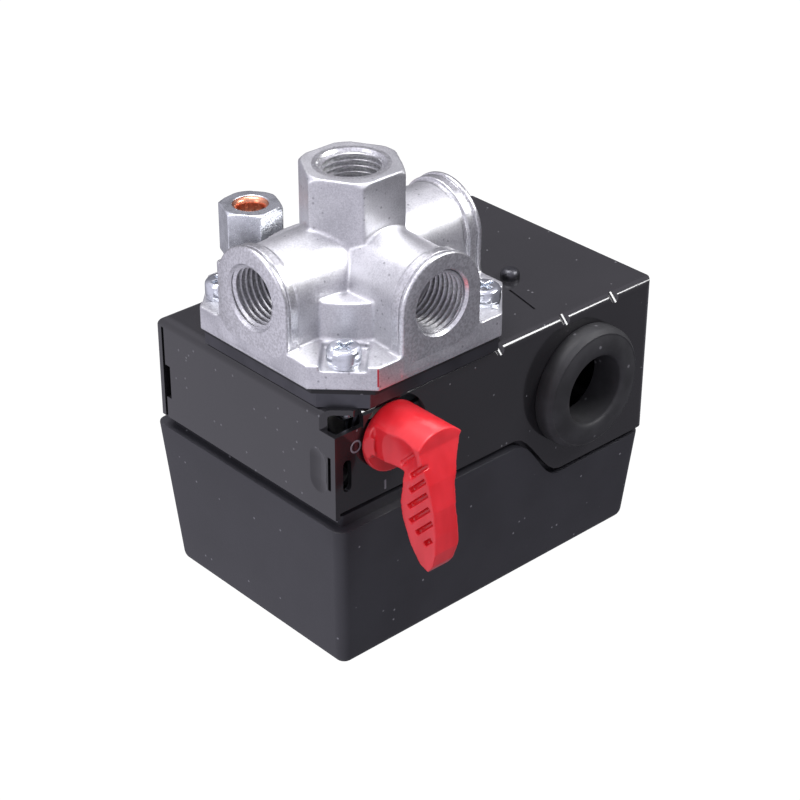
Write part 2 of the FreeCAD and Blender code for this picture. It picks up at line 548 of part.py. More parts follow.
def shaft_bush():
    y0 = MARKER_Y - 0.3
    flange_ring = ring(5.6, SHAFT_R + RUN, (KNOB_X, MARKER_Y + SHEET, KNOB_Z), Y_AXIS, 1.0)
    sleeve = ring(BUSH_R, SHAFT_R + RUN, (KNOB_X, y0, KNOB_Z), Y_AXIS, SHEET + 0.3)
    return joined([flange_ring, sleeve])


# ---------------------------------------------------------------- contacts
BLOCK_X0, BLOCK_X1 = -5.0, 33.4
BLOCK_Y0, BLOCK_Y1 = 12.0, 31.0
PAD_Z = 39.8                # the block touches the rear wall only above the cover's lip
FOOT = 2.0                  # half the width of the strips and clamps
BLOCK_Z0, BLOCK_Z1 = 24.0, 34.0
POLES_X = (3.0, 11.0, 16.5, 24.5)        # one fixed contact each; a bridge joins each pair
BRIDGES_X = ((3.0, 11.0), (16.5, 24.5))
BRIDGE_Y = 24.0
TIP_H, STRIP_H = 0.8, 0.8
OPEN_GAP = CRANK_TRAVEL + 0.05
BRIDGE_Z = BLOCK_Z1 + STRIP_H + TIP_H + OPEN_GAP + TIP_H    # underside of the bridges when open
CARRIER_Z0, CARRIER_Z1 = 44.6, 49.4
CARRIER_Y0, CARRIER_Y1 = 17.4, 28.0
GUIDE_R = 1.5
GUIDES_X = (-1.9, 30.4)
TERMINAL_Y = 17.0
ARM_Y1 = 40.6


def contact_block():
    block = box(BLOCK_X0, BLOCK_X1, BLOCK_Y0, BLOCK_Y1, BLOCK_Z0, BLOCK_Z1)
    back = box(BLOCK_X0, 29.0, BLOCK_Y1 - 2.0, BLOCK_Y1, BLOCK_Z1, PAD_Z + 4.0)
    pads = box(BLOCK_X0, 29.0, BLOCK_Y1 - 1.0, REAR - SHEET, PAD_Z, PAD_Z + 4.0)
    ribs = [box(x - 0.4, x + 0.4, BLOCK_Y0, 21.0, BLOCK_Z0 - 3.4, BLOCK_Z0) for x in (-0.4, 7.0, 13.75, 20.5, 28.0)]
    guides = [rod(GUIDE_R, (x, BRIDGE_Y, BLOCK_Z1), Z_AXIS, 24.0) for x in GUIDES_X]
    body = joined([block, back, pads] + ribs + guides)
    holes = [rod(1.75, (x, TERMINAL_Y, BLOCK_Z0 - 1), Z_AXIS, 12) for x in POLES_X]
    holes += [rod(1.3, (x, BLOCK_Y1 - 3, BLOCK_SCREW_Z), Y_AXIS, 6) for x in BLOCK_SCREW_X]
    return body.cut(holes)


def fixed_contacts():
    """Brass strips that run from the silver tips over the block's front edge to the terminals."""
    strips = []
    for x in POLES_X:
        top = box(x - FOOT, x + FOOT, BLOCK_Y0 - STRIP_H, BRIDGE_Y + 2, BLOCK_Z1, BLOCK_Z1 + STRIP_H)
        drop = box(x - FOOT, x + FOOT, BLOCK_Y0 - STRIP_H, BLOCK_Y0, BLOCK_Z0 - STRIP_H, BLOCK_Z1 + STRIP_H)
        foot = box(x - FOOT, x + FOOT, BLOCK_Y0 - STRIP_H, TERMINAL_Y + 3, BLOCK_Z0 - STRIP_H, BLOCK_Z0)
        strip = joined([top, drop, foot])
        strips.append(strip.cut([rod(1.75, (x, TERMINAL_Y, BLOCK_Z0 - 2), Z_AXIS, 14)]))
    return Part.makeCompound(strips)


def contact_tips():
    z = BLOCK_Z1 + STRIP_H
    return Part.makeCompound([rod(1.7, (x, BRIDGE_Y, z), Z_AXIS, TIP_H) for x in POLES_X])


CLAMP_Z = BLOCK_Z0 - STRIP_H - 1.0


def terminal_clamps():
    clamps = []
    for x in POLES_X:
        plate = box(x - FOOT, x + FOOT, TERMINAL_Y - 3, TERMINAL_Y + 3, CLAMP_Z, CLAMP_Z + 1.0)
        clamps.append(plate.cut(rod(1.75, (x, TERMINAL_Y, CLAMP_Z - 1), Z_AXIS, 3)))
    return Part.makeCompound(clamps)


def terminal_screws():
    screws = []
    for x in POLES_X:
        head = rod(2.2, (x, TERMINAL_Y, CLAMP_Z - 2.0), Z_AXIS, 2.0)
        slot = box(x - 3, x + 3, TERMINAL_Y - 0.4, TERMINAL_Y + 0.4, CLAMP_Z - 3, CLAMP_Z - 1.0)
        screws.append(joined([head.cut(slot), rod(1.75, (x, TERMINAL_Y, CLAMP_Z), Z_AXIS, 9.0)]))
    return Part.makeCompound(screws)


def block_screws():
    return Part.makeCompound([joined([rod(2.6, (x, REAR, BLOCK_SCREW_Z), Y_AXIS, 1.8),
                                      rod(1.3, (x, REAR - SHEET - 3.0, BLOCK_SCREW_Z), Y_AXIS, SHEET + 3.0)])
                              for x in BLOCK_SCREW_X])


def bridge_centres():
    return [(a + b) / 2 for a, b in BRIDGES_X]


def contact_carrier():
    """Moulded slide that the crank lifts: two bridge stems, two guide holes, the unloader arm."""
    bar = box(-18.6, 33.2, CARRIER_Y0, CARRIER_Y1, CARRIER_Z0, CARRIER_Z1)
    tongue = box(-18.9, -11.9, CARRIER_Y0, CARRIER_Y0 + 3.2, CARRIER_Z0, 58.8)
    slot = box(PIN_X - 2.1, PIN_X + 2.0, CARRIER_Y0 - 1, CARRIER_Y0 + 5,
               PIN_Z - CRANK_PIN_R - 0.15, PIN_Z + CRANK_PIN_R + 0.15)
    stems, feet = [], []
    for x in bridge_centres():
        stems.append(rod(1.2, (x, BRIDGE_Y, BRIDGE_Z - 0.7), Z_AXIS, CARRIER_Z0 - BRIDGE_Z + 0.7))
        feet.append(rod(1.9, (x, BRIDGE_Y, BRIDGE_Z - 0.72), Z_AXIS, 0.7))
    x0, x1, z0, z1 = ARM_SLOT
    arm_x0, arm_x1 = x0 + 0.6, x1 - 0.6
    reach = box(arm_x0, arm_x1, CARRIER_Y1 - 1, ARM_Y1, CARRIER_Z0 + 3.0, CARRIER_Z0 + 5.6)
    holes = [rod(GUIDE_R + RUN, (x, BRIDGE_Y, 40), Z_AXIS, 20) for x in GUIDES_X]
    return joined([bar, tongue, reach] + stems + feet).cut(holes + [slot])


def contact_bridges():
    bridges = []
    for (a, b), x in zip(BRIDGES_X, bridge_centres()):
        strip = box(a - 2.0, b + 2.0, BRIDGE_Y - 2.0, BRIDGE_Y + 2.0, BRIDGE_Z, BRIDGE_Z + 0.9)
        bridges.append(strip.cut(rod(1.25, (x, BRIDGE_Y, BRIDGE_Z - 1), Z_AXIS, 3)))
    return Part.makeCompound(bridges)


def bridge_tips():
    return Part.makeCompound([rod(1.7, (x, BRIDGE_Y, BRIDGE_Z - TIP_H), Z_AXIS, TIP_H) for x in POLES_X])


def bridge_springs():
    z0, z1 = BRIDGE_Z + 0.92, CARRIER_Z0 - 0.02
    return Part.makeCompound([coil(1.9, 0.25, x, BRIDGE_Y, z0, z1, 4) for x in bridge_centres()])


def carrier_springs():
    z0, z1 = BLOCK_Z1 + 0.02, CARRIER_Z0 - 0.02
    return Part.makeCompound([coil(2.3, 0.3, x, BRIDGE_Y, z0, z1, 6) for x in GUIDES_X])


# ---------------------------------------------------------------- cable entries
def grommet(wall_y, outward):
    """Rubber ring in the wall's hole, thick outside, with a groove for the sheet."""
    out = V(0, outward, 0)

    def disc(radius, inner, start, length):
        return ring(radius, inner, (ENTRY_X, wall_y + outward * start, ENTRY_Z), out, length)

    outside = disc(GROMMET_R, GROMMET_BORE_R, 0, GROMMET_OUT)
    rim = edges_where(outside, lambda e: abs(e.CenterOfMass.y - wall_y) > GROMMET_OUT - 0.1 and e.Length > 80)
    outside = outside.makeFillet(2.2, rim)
    neck = disc(ENTRY_HOLE_R, GROMMET_BORE_R, -SHEET, SHEET)
    inside = disc(12.6, GROMMET_BORE_R, -SHEET - 2.2, 2.2)
    return joined([outside, neck, inside])


def ground_screws():
    """Earth screws through the plate's underside beside each cable entry."""
    screws = []
    for y in (-14.0, 24.0):
        head = rod(3.4, (57.0, y, PLATE_UNDER - 4.4), Z_AXIS, 2.4)
        slot = box(53, 61, y - 0.5, y + 0.5, PLATE_UNDER - 5, PLATE_UNDER - 3.2)
        plate = ring(4.2, 2.0, (57.0, y, PLATE_UNDER - 2.0), Z_AXIS, 1.0)
        shank = rod(2.0, (57.0, y, PLATE_UNDER - 2.2), Z_AXIS, 2.2)
        screws.append(joined([head.cut(slot), plate, shank]))
    return Part.makeCompound(screws)


def insulating_sheet():
    """Fibre sheet between the contacts and the pressure rocker."""
    return box(-4.0, 32.0, 10.8, 11.1, 22.0, 42.8)


# ---------------------------------------------------------------- unloader valve
BODY_Z0, BODY_Z1 = 51.6, 64.6
NUT_Z0 = 67.2
STEM_X, STEM_Y = VALVE_X, VALVE_Y + 0.6
STEM_R = 1.5
ARM_TOP = CARRIER_Z0 + 5.6


def unloader_body():
    block = rounded_block(VALVE_X - 6.2, VALVE_X + 6.2, REAR + 0.02, REAR + 9.8, BODY_Z0, BODY_Z1, 1.5)
    ears = rounded_block(VALVE_X - 12.4, VALVE_X + 12.4, REAR + 0.02, REAR + 2.6, 53.4, 60.6, 1.2)
    neck = rod(4.6, (VALVE_X, VALVE_Y, BODY_Z1 - 1), Z_AXIS, NUT_Z0 + 7.4 - BODY_Z1)
    body = joined([block, ears, neck])
    holes = [rod(STEM_R + RUN, (STEM_X, STEM_Y, BODY_Z0 - 1), Z_AXIS, 7.0),
             rod(2.4, (STEM_X, STEM_Y, BODY_Z0 + 4.4), Z_AXIS, 7.8),
             rod(1.7, (VALVE_X, VALVE_Y, BODY_Z0 + 8), Z_AXIS, 20)]
    holes += [rod(1.7, (x, REAR - 1, VALVE_SCREW_Z), Y_AXIS, 6) for x in VALVE_SCREWS]
    return body.cut(holes)


def unloader_screws():
    screws = []
    for x in VALVE_SCREWS:
        head = rod(2.9, (x, REAR + 2.6, VALVE_SCREW_Z), Y_AXIS, 2.2)
        slot = [box(x - 1.9, x + 1.9, REAR + 3.6, REAR + 6, VALVE_SCREW_Z - 0.4, VALVE_SCREW_Z + 0.4),
                box(x - 0.4, x + 0.4, REAR + 3.6, REAR + 6, VALVE_SCREW_Z - 1.9, VALVE_SCREW_Z + 1.9)]
        shank = rod(1.6, (x, REAR - 3.2, VALVE_SCREW_Z), Y_AXIS, 5.8)
        screws.append(joined([head, shank]).cut(slot))
    return Part.makeCompound(screws)


def unloader_stem():
    stem_top = BODY_Z0 + 7.6
    stem = rod(STEM_R, (STEM_X, STEM_Y, ARM_TOP + RUN), Z_AXIS, stem_top - ARM_TOP - RUN)
    poppet = rod(2.3, (STEM_X, STEM_Y, stem_top - 1.6 + 1.2), Z_AXIS, 1.2)
    return joined([stem, poppet])


def unloader_spring():
    return coil(1.7, 0.25, STEM_X, STEM_Y, BODY_Z0 + 8.5, BODY_Z0 + 12.1, 4)


def tube_nut():
    nut = hexagon(NUT_AF, VALVE_X, VALVE_Y, NUT_Z0, NUT_TOP, turn=8)
    shaped = cone(NUT_AF / 2 + 6.4, NUT_AF / 2 + 0.1, (VALVE_X, VALVE_Y, NUT_TOP - 3.2), Z_AXIS, 3.2)
    lower = rod(NUT_AF, (VALVE_X, VALVE_Y, NUT_Z0), Z_AXIS, NUT_TOP - 3.2 - NUT_Z0)
    nut = nut.common(joined([shaped, lower]))
    return nut.cut([rod(4.65, (VALVE_X, VALVE_Y, NUT_Z0 - 1), Z_AXIS, 9.2),
                    rod(4.05, (VALVE_X, VALVE_Y, NUT_Z0), Z_AXIS, 20)])


def ferrule():
    sleeve = ring(4.0, TUBE_R, (VALVE_X, VALVE_Y, NUT_Z0 + 7.5), Z_AXIS, NUT_TOP - NUT_Z0 - 7.7)
    funnel = cone(TUBE_R - 0.5, TUBE_R + 0.6, (VALVE_X, VALVE_Y, NUT_TOP - 1.2), Z_AXIS, 1.1)
    return sleeve.cut(funnel)


NODES = {
    "base_frame": base_frame, "cover": cover, "cover_post": cover_post, "cover_screw": cover_screw,
    "manifold": manifold, "manifold_screws": manifold_screws, "spring_washers": spring_washers,
    "diaphragm_seat": diaphragm_seat, "diaphragm": diaphragm, "push_plate": push_plate,
    "lever_bracket": lever_bracket, "pivot_pin": pivot_pin, "pivot_clips": pivot_clips,
    "rocker": rocker, "spring_seat": spring_seat, "range_stud": range_stud,
    "range_spring": range_spring, "spring_cup": spring_cup, "range_nut": range_nut,
    "knob": knob, "knob_shaft": knob_shaft, "shaft_clip": shaft_clip, "shaft_bush": shaft_bush,
    "contact_block": contact_block, "fixed_contacts": fixed_contacts, "contact_tips": contact_tips,
    "terminal_clamps": terminal_clamps, "terminal_screws": terminal_screws,
    "block_screws": block_screws, "contact_carrier": contact_carrier,
    "contact_bridges": contact_bridges, "bridge_tips": bridge_tips,
    "bridge_springs": bridge_springs, "carrier_springs": carrier_springs,
    "front_grommet": lambda: grommet(FRONT, -1), "rear_grommet": lambda: grommet(REAR, 1),
    "ground_screws": ground_screws, "insulating_sheet": insulating_sheet,
    "unloader_body": unloader_body, "unloader_screws": unloader_screws,
    "unloader_stem": unloader_stem, "unloader_spring": unloader_spring,
    "tube_nut": tube_nut, "ferrule": ferrule,
}

os.makedirs("parts", exist_ok=True)
for name, make in NODES.items():
    shape = make()
    shape.exportStep("parts/" + name + ".step")
    extent = shape.BoundBox
    print(name, "solids", len(shape.Solids), "volume", round(shape.Volume, 1), "valid", shape.isValid(),
          "x", round(extent.XMin, 2), round(extent.XMax, 2), "y", round(extent.YMin, 2),
          round(extent.YMax, 2), "z", round(extent.ZMin, 2), round(extent.ZMax, 2))
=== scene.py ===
"""Finished look of an air compressor pressure switch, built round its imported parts.

Metres, in the part's own frame: the tank port's axis is X = Y = 0 and Z = 0 is the face that the
cover stands on.  Sizes in the tables below are millimetres.
"""
import json
import math

import bmesh
import bpy
from mathutils import Matrix, Vector


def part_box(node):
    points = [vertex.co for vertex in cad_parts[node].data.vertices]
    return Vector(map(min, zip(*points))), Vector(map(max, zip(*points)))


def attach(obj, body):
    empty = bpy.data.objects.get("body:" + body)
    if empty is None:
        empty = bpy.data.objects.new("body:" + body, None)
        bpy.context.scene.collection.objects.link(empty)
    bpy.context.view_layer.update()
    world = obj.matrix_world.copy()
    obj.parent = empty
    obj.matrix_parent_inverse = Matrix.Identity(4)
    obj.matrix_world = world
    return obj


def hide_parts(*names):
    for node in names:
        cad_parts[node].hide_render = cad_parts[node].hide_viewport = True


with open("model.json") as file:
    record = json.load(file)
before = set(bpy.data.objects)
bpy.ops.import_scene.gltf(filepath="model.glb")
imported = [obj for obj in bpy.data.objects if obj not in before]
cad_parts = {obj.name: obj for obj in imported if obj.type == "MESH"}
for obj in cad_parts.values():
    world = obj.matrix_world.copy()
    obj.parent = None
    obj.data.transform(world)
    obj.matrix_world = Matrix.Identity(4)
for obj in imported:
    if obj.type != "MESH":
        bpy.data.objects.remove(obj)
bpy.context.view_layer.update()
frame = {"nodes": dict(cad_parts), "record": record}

MM = 0.001
X, Y, Z = Vector((1, 0, 0)), Vector((0, 1, 0)), Vector((0, 0, 1))


def at(x, y, z):
    """A place given in millimetres."""
    return Vector((x, y, z)) * MM


# ------------------------------------------------------------------ places read from the frame
def edge(node, corner, axis):
    """One side of a node's box in millimetres; corner 0 is the low one and 1 the high one."""
    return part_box(node)[corner][axis] / MM


PLATE_TOP = edge("diaphragm_seat", 0, 2)
LEFT = -25.8
RIGHT = edge("base_frame", 1, 0)
FRONT = -25.1
REAR = edge("base_frame", 1, 1)
FLANGE_Z0 = edge("manifold", 0, 2)
HEX_TOP = edge("manifold", 1, 2)
PORT_Z = PLATE_TOP + 17.9
ENTRY_X, ENTRY_Z = 44.0, 44.9
NUT_X, NUT_Y = 3.6, 37.9
NUT_TOP = edge("tube_nut", 1, 2)


# ------------------------------------------------------------------ shader maths
class Socket:
    """A value in a material's node tree that takes part in Python arithmetic."""

    def __init__(self, finish, socket):
        self.finish = finish
        self.socket = socket

    def maths(self, operation, *operands):
        inputs = dict(enumerate(operands))
        return self.finish.node("ShaderNodeMath", {"operation": operation}, inputs)

    def __add__(self, other):
        return self.maths("ADD", self, other)

    __radd__ = __add__

    def __sub__(self, other):
        return self.maths("SUBTRACT", self, other)

    def __rsub__(self, other):
        return self.maths("SUBTRACT", other, self)

    def __mul__(self, other):
        return self.maths("MULTIPLY", self, other)

    __rmul__ = __mul__

    def __lt__(self, other):
        return self.maths("LESS_THAN", self, other)

    def sine(self):
        return self.maths("SINE", self)

    def root(self):
        return self.maths("SQRT", self)

    def at_most(self, other):
        return self.maths("MINIMUM", self, other)

    def fade(self, start, end):
        """0 below start, 1 above end, with a soft change between them."""
        settings = {"interpolation_type": "SMOOTHSTEP"}
        return self.finish.node("ShaderNodeMapRange", settings, {
            "Value": self, "From Min": start, "From Max": end})


class Finish:
    """One material: a Principled shader and the nodes that vary it over the surface."""

    def __init__(self, name, **constants):
        self.material = bpy.data.materials.new(name)
        self.material.use_nodes = True
        self.tree = self.material.node_tree
        self.shader = self.tree.nodes["Principled BSDF"]
        for socket, value in constants.items():
            self.shader.inputs[socket.replace("_", " ")].default_value = value
        place = self.tree.nodes.new("ShaderNodeTexCoord")
        self.place = Socket(self, place.outputs["Object"])
        self.along = [self.node("ShaderNodeSeparateXYZ", {}, {0: self.place}, output=k) for k in range(3)]

    def node(self, kind, settings=None, inputs=None, output=0):
        """Adds a node: its settings first, then the values or links of its sockets."""
        node = self.tree.nodes.new(kind)
        for setting, value in (settings or {}).items():
            setattr(node, setting, value)
        for key, value in (inputs or {}).items():
            self.feed(node.inputs[key], value)
        return Socket(self, node.outputs[output])

    def feed(self, target, value):
        if isinstance(value, Socket):
            self.tree.links.new(value.socket, target)
        elif isinstance(value, tuple) and len(value) == 3 and target.type == "RGBA":
            target.default_value = (*value, 1.0)
        else:
            target.default_value = value

    def set(self, **sockets):
        for socket, value in sockets.items():
            self.feed(self.shader.inputs[socket.replace("_", " ")], value)

    def noise(self, scale, detail=3.0, roughness=0.55, place=None):
        return self.node("ShaderNodeTexNoise", {}, {
            "Vector": place or self.place, "Scale": scale, "Detail": detail, "Roughness": roughness})

    def cells(self, scale, randomness=1.0, output="Distance"):
        return self.node("ShaderNodeTexVoronoi", {}, {
            "Vector": self.place, "Scale": scale, "Randomness": randomness}, output=output)

    def stretched(self, x, y, z):
        """The place with each axis scaled, for brushed or turned patterns."""
        return self.node("ShaderNodeMapping", {}, {"Vector": self.place, "Scale": (x, y, z)})

    def specks(self, scale, size, share):
        """Scattered round dots, on a share of the cells only."""
        near = 1 - self.cells(scale).fade(size * 0.6, size)
        tint = self.node("ShaderNodeSeparateColor", {}, {"Color": self.cells(scale, output="Color")})
        return near * (tint < share)

    def blend(self, first, second, factor):
        inputs = {"Factor": factor, 6: first, 7: second}
        return self.node("ShaderNodeMix", {"data_type": "RGBA"}, inputs, output=2)

    def bump(self, height, distance, strength=1.0, below=None):
        inputs = {"Height": height, "Distance": distance, "Strength": strength}
        if below is not None:
            inputs["Normal"] = below
        return self.node("ShaderNodeBump", {}, inputs)

    def radius_from(self, across, up, centre_across, centre_up):
        """Distance from a line, by the two coordinates square to it, in metres."""
        a = self.along[across] - centre_across * MM
        b = self.along[up] - centre_up * MM
        return (a * a + b * b).root()


# ------------------------------------------------------------------ finishes
def cast_aluminium(name="cast_aluminium", tone=1.0):
    """Bead-blasted die casting: speckled grain, slow brightness changes, faint flow marks."""
    finish = Finish(name, Metallic=1.0)
    grain = finish.noise(2600, 4.0, 0.7)
    drift = finish.noise(110, 3.0, 0.5)
    flow = finish.noise(500, 3.0, 0.6, finish.stretched(1.0, 1.0, 0.25))
    pits = finish.specks(900, 0.30, 0.10)
    light = finish.blend((0.54 * tone, 0.54 * tone, 0.56 * tone), (0.80 * tone, 0.80 * tone, 0.82 * tone),
                         (grain * 0.55 + drift * 0.45).fade(0.34, 0.66))
    finish.set(Base_Color=finish.blend(light, (0.32, 0.32, 0.34), pits * 0.7),
               Roughness=0.33 + 0.16 * grain + 0.08 * flow)
    fine = finish.bump(grain, 0.00004, 0.55)
    finish.set(Normal=finish.bump(drift * 0.6 + flow * 0.4, 0.00015, 0.35, below=fine))
    return finish


def machined_aluminium(name, across, up, centre_across, centre_up):
    """Faced aluminium with fine turning rings round an axis."""
    finish = Finish(name, Metallic=1.0)
    radius = finish.radius_from(across, up, centre_across, centre_up)
    rings = (radius * 42000).sine()
    grain = finish.noise(1900, 3.0, 0.6)
    finish.set(Base_Color=finish.blend((0.60, 0.60, 0.61), (0.82, 0.82, 0.84), grain.fade(0.35, 0.65)),
               Roughness=0.27 + 0.14 * grain)
    finish.set(Normal=finish.bump(rings * 0.3 + grain, 0.00002, 0.4))
    return finish


def zinc_plate(name="zinc_plate", colour=(0.80, 0.83, 0.88), roughness=0.14):
    """Bright zinc: smooth, a little blue, with small handling marks."""
    finish = Finish(name, Metallic=1.0)
    cloud = finish.noise(260, 4.0, 0.6)
    marks = finish.noise(1500, 5.0, 0.7)
    dark = tuple(0.72 * c for c in colour)
    finish.set(Base_Color=finish.blend(dark, colour, cloud.fade(0.32, 0.62)),
               Roughness=roughness + 0.12 * marks)
    finish.set(Normal=finish.bump(marks, 0.00002, 0.35))
    return finish


def black_enamel():
    """Glossy black coat on pressed sheet: slight orange peel, dust and faint rub marks."""
    finish = Finish("black_enamel", Coat_Weight=0.5, Coat_Roughness=0.06, Specular_IOR_Level=0.5)
    peel = finish.noise(420, 2.0, 0.5)
    waves = finish.noise(55, 2.0, 0.4)
    dust = finish.specks(700, 0.22, 0.05) + finish.specks(330, 0.10, 0.04)
    rubs = finish.noise(1400, 4.0, 0.6, finish.stretched(0.15, 1.0, 1.0)).fade(0.62, 0.80)
    base = finish.blend((0.012, 0.012, 0.013), (0.020, 0.019, 0.021), waves)
    finish.set(Base_Color=finish.blend(base, (0.24, 0.24, 0.25), dust.at_most(1.0) * 0.5),
               Roughness=0.10 + 0.08 * peel + 0.12 * rubs)
    finish.set(Normal=finish.bump(waves * 2.0 + peel * 0.3, 0.00010, 0.25))
    return finish


def moulded_plastic(name, colour, roughness, dust_share=0.06):
    """Moulded plastic with a fine spark-eroded grain and settled dust."""
    finish = Finish(name, Specular_IOR_Level=0.5)
    grain = finish.noise(2300, 2.0, 0.5)
    cloud = finish.noise(70, 3.0, 0.5)
    dust = finish.specks(620, 0.20, dust_share) + finish.specks(260, 0.09, dust_share * 0.8)
    lighter = tuple(1.25 * c for c in colour)
    base = finish.blend(colour, lighter, cloud.fade(0.3, 0.7))
    finish.set(Base_Color=finish.blend(base, (0.30, 0.30, 0.32), dust.at_most(1.0) * 0.55),
               Roughness=roughness + 0.10 * grain + 0.06 * cloud)
    finish.set(Normal=finish.bump(grain, 0.00002, 0.30))
    return finish


def rubber(name="grommet_rubber", colour=(0.016, 0.016, 0.017)):
    """Matte black rubber with moulding grain, pale bloom and dust."""
    finish = Finish(name, Specular_IOR_Level=0.4)
    grain = finish.noise(1600, 4.0, 0.65)
    bloom = finish.noise(120, 3.0, 0.55)
    dust = finish.specks(520, 0.24, 0.08)
    base = finish.blend(colour, tuple(1.9 * c for c in colour), bloom.fade(0.35, 0.7))
    finish.set(Base_Color=finish.blend(base, (0.20, 0.20, 0.21), dust * 0.55),
               Roughness=0.50 + 0.18 * grain)
    finish.set(Normal=finish.bump(grain, 0.00004, 0.45))
    return finish


def red_plastic():
    """Bright red moulded plastic that lets a little light in."""
    finish = Finish("red_plastic", Subsurface_Weight=0.35, Subsurface_Radius=(0.004, 0.0006, 0.0005),
                    Subsurface_Scale=1.0, Specular_IOR_Level=0.55, Coat_Weight=0.15, Coat_Roughness=0.2)
    flow = finish.noise(160, 3.0, 0.5, finish.stretched(1.0, 1.0, 0.35))
    grain = finish.noise(1900, 3.0, 0.6)
    finish.set(Base_Color=finish.blend((0.66, 0.012, 0.020), (0.80, 0.030, 0.042), flow.fade(0.3, 0.7)),
               Roughness=0.26 + 0.14 * grain)
    finish.set(Normal=finish.bump(grain + flow * 0.4, 0.00002, 0.35))
    return finish


def plain_metal(name, colour, roughness):
    """Drawn or pressed metal with a lengthwise grain."""
    finish = Finish(name, Metallic=1.0)
    grain = finish.noise(900, 4.0, 0.6, finish.stretched(0.2, 1.0, 1.0))
    cloud = finish.noise(140, 3.0, 0.5)
    finish.set(Base_Color=finish.blend(tuple(0.75 * c for c in colour), colour, cloud.fade(0.3, 0.65)),
               Roughness=roughness + 0.15 * grain)
    finish.set(Normal=finish.bump(grain, 0.00002, 0.4))
    return finish


def fibre_board():
    """Pressed grey-brown insulating fibre."""
    finish = Finish("fibre_board")
    strands = finish.noise(900, 5.0, 0.7, finish.stretched(1.0, 1.0, 0.3))
    finish.set(Base_Color=finish.blend((0.16, 0.13, 0.10), (0.30, 0.25, 0.19), strands),
               Roughness=0.6 + 0.2 * strands)
    finish.set(Normal=finish.bump(strands, 0.00004, 0.5))
    return finish


CAST = cast_aluminium()
FACED = {
    "x": machined_aluminium("faced_side_ports", 1, 2, 0.0, PORT_Z),
    "y": machined_aluminium("faced_front_port", 0, 2, 0.0, PORT_Z),
    "z": machined_aluminium("faced_tank_port", 0, 1, 0.0, 0.0),
}
ZINC = zinc_plate()
NUT_PLATE = zinc_plate("nut_plate", (0.90, 0.93, 0.96), 0.22)
ENAMEL = black_enamel()
CHARCOAL = moulded_plastic("charcoal_plastic", (0.022, 0.022, 0.026), 0.30)
RUBBER = rubber()
RED = red_plastic()
COPPER = plain_metal("copper", (0.83, 0.36, 0.22), 0.24)
BRASS = plain_metal("brass", (0.78, 0.58, 0.28), 0.26)
STEEL = plain_metal("bare_steel", (0.55, 0.55, 0.57), 0.30)

SLOT_FINISH = {
    "black_steel": ENAMEL,
    "die_cast": CAST,
    "zinc": ZINC,
    "dark_steel": plain_metal("black_oxide_steel", (0.10, 0.10, 0.11), 0.34),
    "steel": STEEL,
    "cover_plastic": CHARCOAL,
    "red_plastic": RED,
    "grommet_rubber": RUBBER,
    # black rubber, set darker than the grommets' rubber so that it also paints the shade of the recess
    # under the flange
    "diaphragm_rubber": rubber("diaphragm_rubber", (0.010, 0.010, 0.011)),
    "copper": COPPER,
    "brass": BRASS,
    "silver_tip": plain_metal("silver_tips", (0.86, 0.85, 0.82), 0.20),
    "block_plastic": moulded_plastic("block_plastic", (0.050, 0.030, 0.022), 0.35, 0.01),
    "carrier_plastic": moulded_plastic("carrier_plastic", (0.48, 0.46, 0.40), 0.32, 0.01),
    "spring_steel": plain_metal("spring_steel", (0.48, 0.48, 0.50), 0.24),
    "fibre": fibre_board(),
}

NODE_SLOT = {part["node"]: part["material_slot"] for part in frame["record"]["subparts"]}
for node_name, node in frame["nodes"].items():
    node.data.materials.clear()
    node.data.materials.append(SLOT_FINISH[NODE_SLOT[node_name]].material)


# ------------------------------------------------------------------ mesh helpers
def side_of(axis):
    """A direction square to the axis."""
    return X.copy() if abs(axis.z) > 0.9 else Z.cross(axis).normalized()


def lathe(points, place, axis, steps=96, closed=True, rise=0.0):
    """Turned shape from (radius, height) points in millimetres; a rise per turn makes it a thread."""
    mesh = bmesh.new()
    side = side_of(axis)
    verts = [mesh.verts.new(place + side * (r * MM) + axis * (h * MM)) for r, h in points]
    ends = verts[1:] + verts[:1] if closed else verts[1:]
    edges = [mesh.edges.new(pair) for pair in zip(verts, ends)]
    bmesh.ops.spin(mesh, geom=verts + edges, cent=place, axis=axis, dvec=axis * (rise * MM / steps),
                   angle=2 * math.pi, steps=steps, use_merge=rise == 0.0)
    bmesh.ops.remove_doubles(mesh, verts=mesh.verts, dist=1e-6)
    bmesh.ops.recalc_face_normals(mesh, faces=mesh.faces)
    return mesh


def node_copy(node):
    """A node's mesh with its loose triangles joined."""
    mesh = bmesh.new()
    mesh.from_mesh(frame["nodes"][node].data)
    bmesh.ops.remove_doubles(mesh, verts=mesh.verts, dist=2e-6)
    bmesh.ops.recalc_face_normals(mesh, faces=mesh.faces)
    return mesh


def block(low, high):
    """Box between two corners in millimetres."""
    mesh = bmesh.new()
    bmesh.ops.create_cube(mesh, size=1.0)
    low, high = at(*low), at(*high)
    size = high - low
    bmesh.ops.scale(mesh, vec=size, verts=mesh.verts)
    bmesh.ops.translate(mesh, vec=(low + high) / 2, verts=mesh.verts)
    return mesh


def grow_ring(mesh, ring, edges):
    """Extrudes a closed ring of edges; gives the new ring in the same order, and its edges."""
    out = bmesh.ops.extrude_edge_only(mesh, edges=edges)["geom"]
    fresh = {element for element in out if isinstance(element, bmesh.types.BMVert)}
    follow = {}
    for vert in fresh:
        for link in vert.link_edges:
            other = link.other_vert(vert)
            if other not in fresh:
                follow[other] = vert
    return [follow[vert] for vert in ring], [g for g in out if isinstance(g, bmesh.types.BMEdge)]


